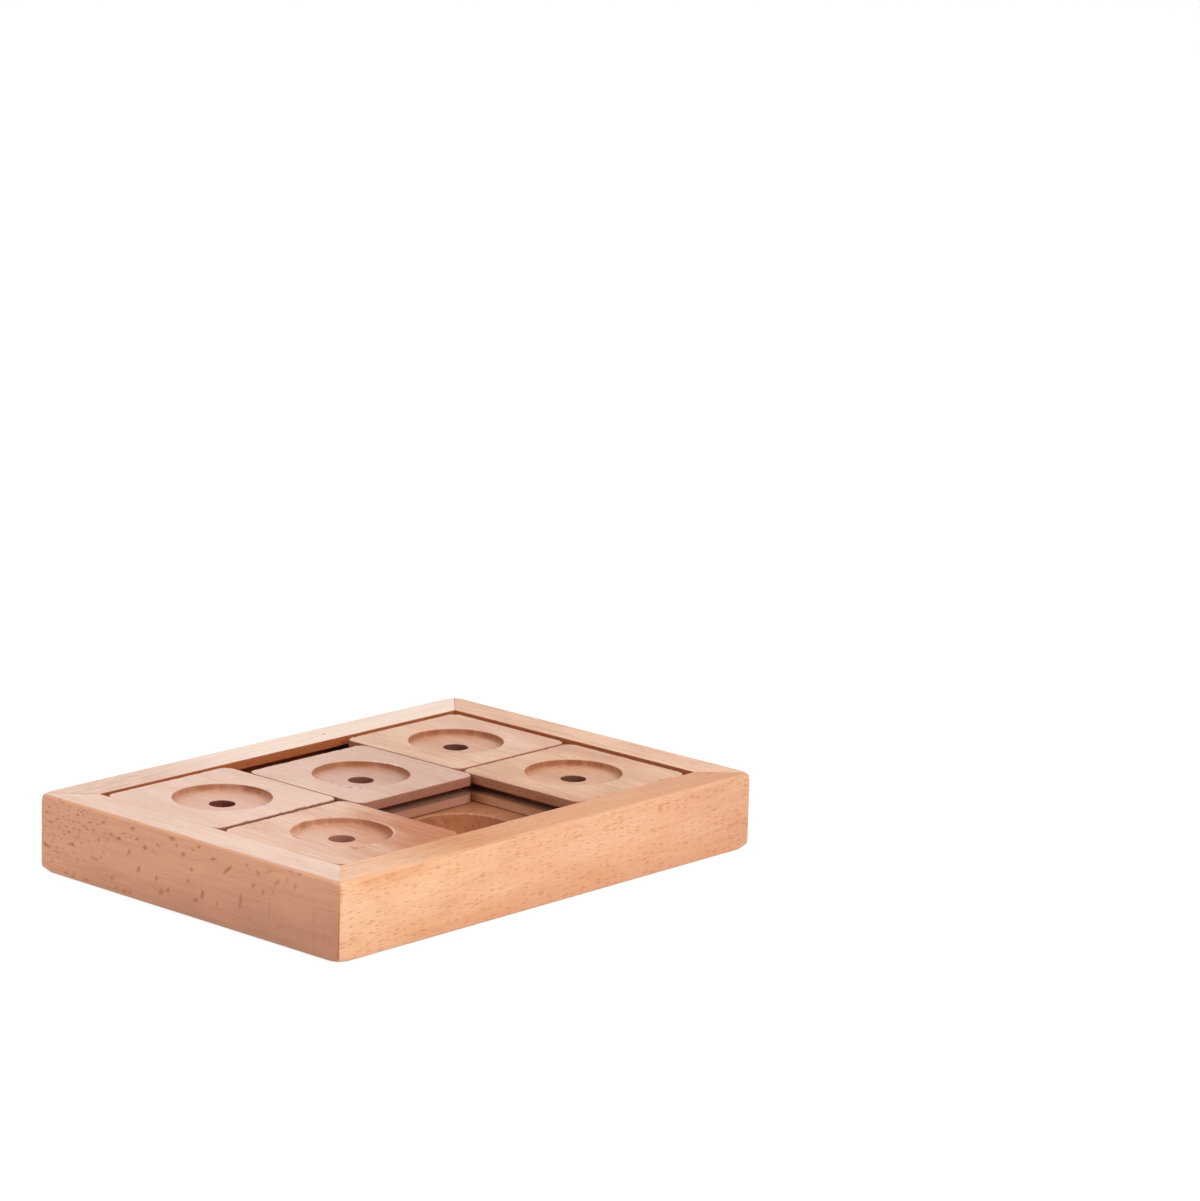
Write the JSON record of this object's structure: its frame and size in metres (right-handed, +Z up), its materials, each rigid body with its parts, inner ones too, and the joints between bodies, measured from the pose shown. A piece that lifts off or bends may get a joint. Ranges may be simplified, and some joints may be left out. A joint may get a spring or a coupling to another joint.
{
  "type": "dog puzzle feeder toy",
  "caption": "Flat mitred wooden tray in which dished square tiles slide on tongues and grooves over round treat wells, with an empty cell to move them into.",
  "frame": {"origin": "centre of the tray's footprint, on the surface it stands on", "axes": "+X along the long front side, from the left to the right of someone facing it; +Y from the front to the back; +Z up"},
  "size_m": [0.251, 0.181, 0.034],
  "materials": {
    "rail": "oiled beech, sanded",
    "tile": "oiled beech, sanded",
    "strip": "planed beech",
    "deck": "planed beech",
    "panel": "sanded beech plywood",
    "dowel": "plain beech dowel"
  },
  "bodies": {
    "tray": {"front_rail": "rail", "back_rail": "rail", "left_rail": "rail", "right_rail": "rail", "front_tongue_strip": "strip", "left_tongue_strip": "strip", "deck_board": "deck", "bottom_panel": "panel", "corner_dowels_front_left": "dowel", "corner_dowels_front_right": "dowel", "corner_dowels_back_left": "dowel", "corner_dowels_back_right": "dowel"},
    "tile_front_left": {"tile_front_left": "tile"},
    "tile_front_right": {"tile_front_right": "tile"},
    "tile_back_left": {"tile_back_left": "tile"},
    "tile_back_middle": {"tile_back_middle": "tile"},
    "tile_back_right": {"tile_back_right": "tile"}
  },
  "joints": [
    {"name": "back_middle_slide", "type": "slide", "parent": "tray", "child": "tile_back_middle", "axis": [0, 1, 0], "range_m": [-0.06, 0.0154]},
    {"name": "back_left_slide", "type": "slide", "parent": "tray", "child": "tile_back_left", "axis": [0, 1, 0], "range_m": [-0.001, 0.0033]},
    {"name": "front_left_slide", "type": "slide", "parent": "tray", "child": "tile_front_left", "axis": [0, 1, 0], "range_m": [0, 0.0009]},
    {"name": "back_right_slide", "type": "slide", "parent": "tray", "child": "tile_back_right", "axis": [0, 1, 0], "range_m": [-0.0011, 0.004]},
    {"name": "front_right_slide", "type": "slide", "parent": "tray", "child": "tile_front_right", "axis": [1, 0, 0], "range_m": [0, 0.0048]}
  ]
}
